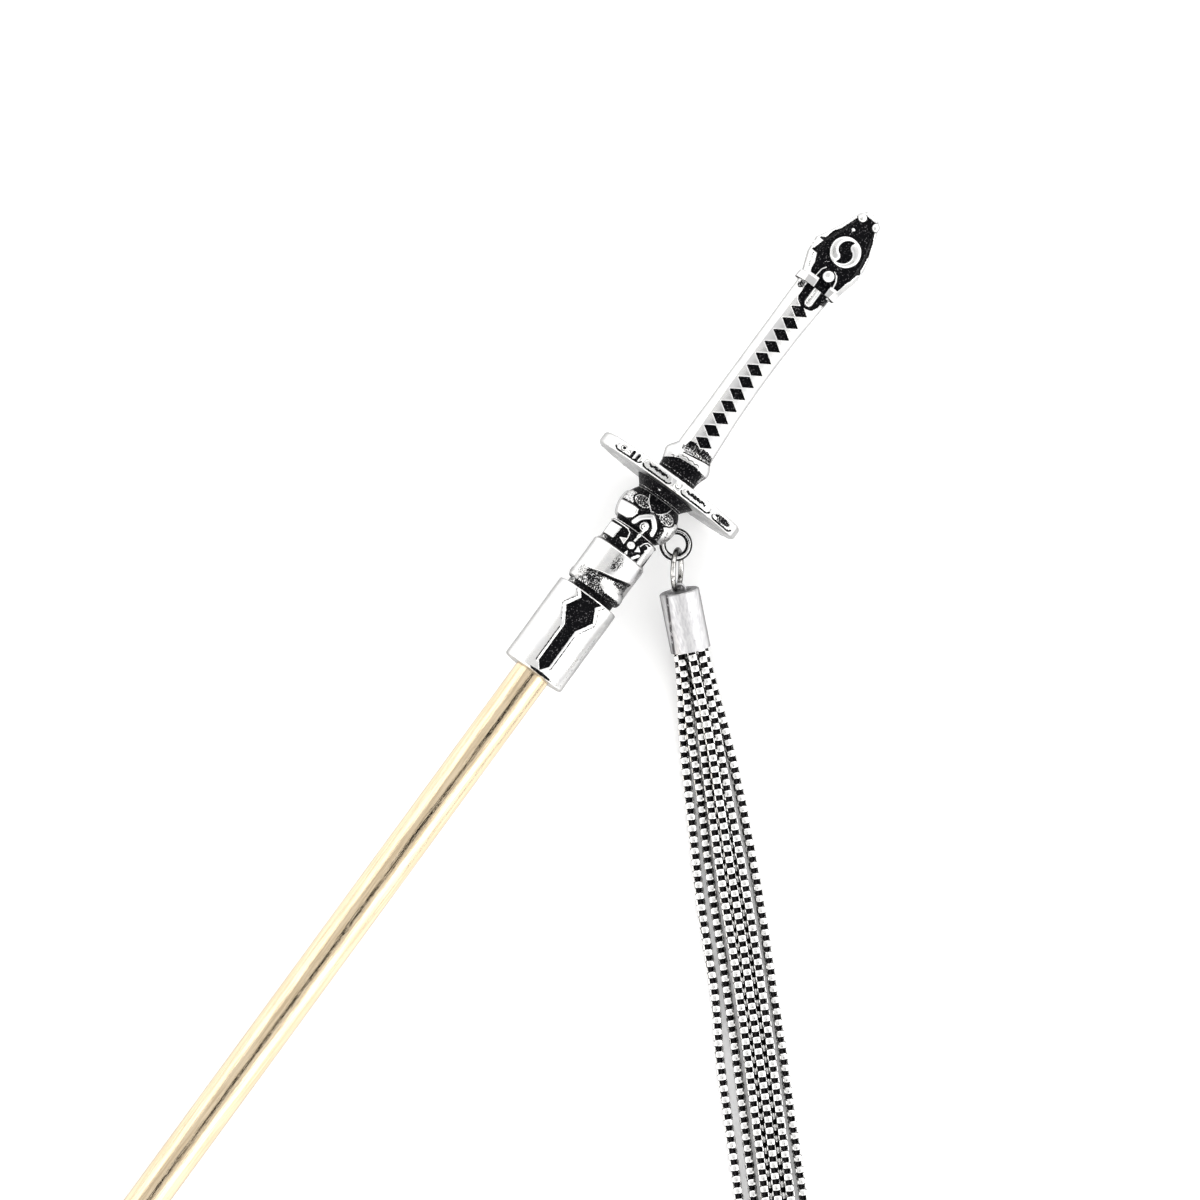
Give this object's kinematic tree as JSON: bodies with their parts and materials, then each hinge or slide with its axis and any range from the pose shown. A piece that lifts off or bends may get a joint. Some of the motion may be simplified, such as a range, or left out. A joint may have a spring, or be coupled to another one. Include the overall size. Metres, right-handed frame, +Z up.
{
  "type": "kanzashi hairpin",
  "caption": "Lying hair stick with a cast sword-handle head, an oval guard, and a tassel of fine box chains that hangs from a lug by a jump ring and a cap.",
  "frame": {"origin": "under the middle of the hairpin as it lies, on the surface", "axes": "+X along the stick, from its tip towards the pommel; +Z up, out of the front of the head; the tassel runs towards -X and -Y"},
  "size_m": [0.1742, 0.0682, 0.0134],
  "materials": {
    "stick_gold": "polished pale champagne gold",
    "head_silver": "antiqued silver, bright on the raised work and blackened in the recesses",
    "dark_washer": "blackened silver, satin",
    "ring_silver": "polished silver",
    "satin_silver": "satin silver with small scratches",
    "chain_silver": "polished silver"
  },
  "bodies": {
    "root": {"shaft": "stick_gold", "ferrule": "head_silver", "throat_band": "head_silver", "collar": "head_silver", "washer": "dark_washer", "guard": "head_silver", "grip_collar": "head_silver", "grip": "head_silver", "pommel": "head_silver", "jump_ring": "ring_silver", "end_cap": "satin_silver", "chain_01": "chain_silver", "chain_02": "chain_silver", "chain_03": "chain_silver", "chain_04": "chain_silver", "chain_05": "chain_silver", "chain_06": "chain_silver", "chain_07": "chain_silver", "chain_08": "chain_silver"}
  },
  "joints": []
}
